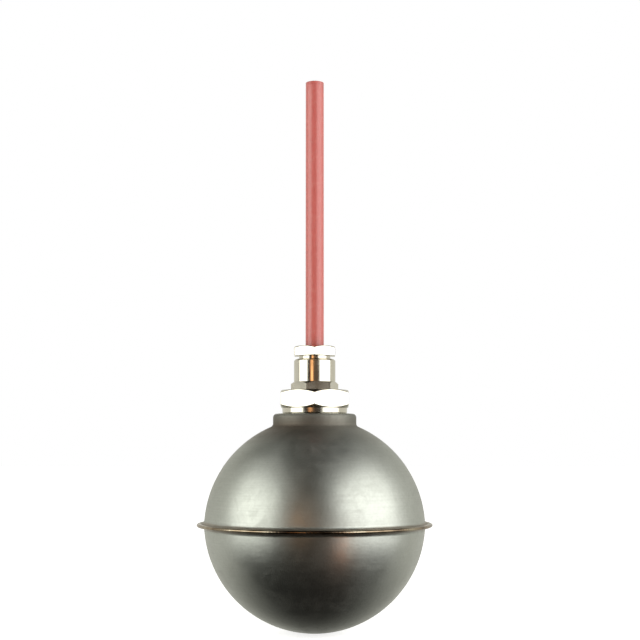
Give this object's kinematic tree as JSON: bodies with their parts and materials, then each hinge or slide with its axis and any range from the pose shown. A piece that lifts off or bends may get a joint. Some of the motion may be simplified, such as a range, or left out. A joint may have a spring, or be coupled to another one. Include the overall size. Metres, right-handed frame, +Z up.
{
  "type": "float level switch",
  "caption": "Round stainless steel float level switch with a welded rim, a plated hexagon cable gland on top and a red silicone cable that it hangs on",
  "frame": {"origin": "point on the axis where the cable leaves the gland, level with the top face of the pressure screw", "axes": "+Z up along the cable, +Y away from the viewer through a corner of the large hexagon, +X to the right"},
  "size_m": [0.1044, 0.1044, 0.2467],
  "materials": {
    "spun_stainless": "pressed stainless sheet, brushed round the axis",
    "weld_bead": "weld bead with a gold and brown heat tint",
    "turned_stainless": "turned",
    "nickel_plate": "bright nickel plate on brass",
    "gasket_fibre": "plain white sealing sheet",
    "washer_brass": "stamped",
    "seal_rubber": "soft black rubber",
    "silicone_jacket": "satin silicone rubber, salmon red",
    "core_brown": "silicone insulation",
    "core_blue": "silicone insulation",
    "core_black": "silicone insulation",
    "tube_aluminium": "drawn tube",
    "cap_polymer": "turned polymer",
    "bearing_steel": "polished ball",
    "carrier_polymer": "moulded",
    "switch_case": "moulded",
    "terminal_brass": "stamped strip",
    "contact_silver": "silver contacts",
    "blade_bronze": "spring bronze",
    "plunger_polymer": "moulded",
    "lever_steel": "stamped stainless sheet",
    "screw_steel": "zinc plated"
  },
  "bodies": {
    "float": {"upper_shell": "spun_stainless", "lower_shell": "spun_stainless", "rim_weld": "weld_bead", "boss_bush": "turned_stainless", "hex_adaptor": "nickel_plate", "collar_gasket": "gasket_fibre", "gland_body": "nickel_plate", "pressure_screw": "nickel_plate", "upper_thrust_washer": "washer_brass", "seal_ring": "seal_rubber", "lower_thrust_washer": "washer_brass", "cable": "silicone_jacket", "core_common": "core_brown", "core_open": "core_blue", "core_closed": "core_black", "cartridge_tube": "tube_aluminium", "cartridge_cap": "cap_polymer", "switch_carrier": "carrier_polymer", "switch_base": "switch_case", "switch_cover": "switch_case", "terminal_common": "terminal_brass", "terminal_open": "terminal_brass", "terminal_closed": "terminal_brass", "fixed_contacts": "contact_silver", "lever_pin": "lever_steel", "switch_screws": "screw_steel"},
    "ball": {"rolling_ball": "bearing_steel"},
    "lever": {"switch_lever": "lever_steel"},
    "plunger": {"switch_plunger": "plunger_polymer"},
    "blade": {"contact_blade": "blade_bronze", "moving_contact": "contact_silver"}
  },
  "joints": [
    {"name": "ball_roll", "type": "slide", "parent": "float", "child": "ball", "axis": [0, 0, 1], "range_m": [0, 0.018]},
    {"name": "lever_turn", "type": "hinge", "parent": "float", "child": "lever", "pos_m": [-0.0056, 0, -0.0623], "axis": [0, -1, 0], "range_deg": [0, 8.75], "stiffness_Nm_per_rad": 0.0115},
    {"name": "plunger_press", "type": "slide", "parent": "float", "child": "plunger", "axis": [0, 0, 1], "range_m": [0, 0.0004358]},
    {"name": "blade_turn", "type": "hinge", "parent": "float", "child": "blade", "pos_m": [0.0053, 0, -0.05937], "axis": [0, 1, 0], "range_deg": [0, 3.16]}
  ],
  "couplings": [
    {"joint": "lever_turn", "follows": "ball_roll", "rad_per_m": 8.4842},
    {"joint": "plunger_press", "follows": "ball_roll", "ratio": 0.024207},
    {"joint": "blade_turn", "follows": "ball_roll", "rad_per_m": 3.0611}
  ]
}
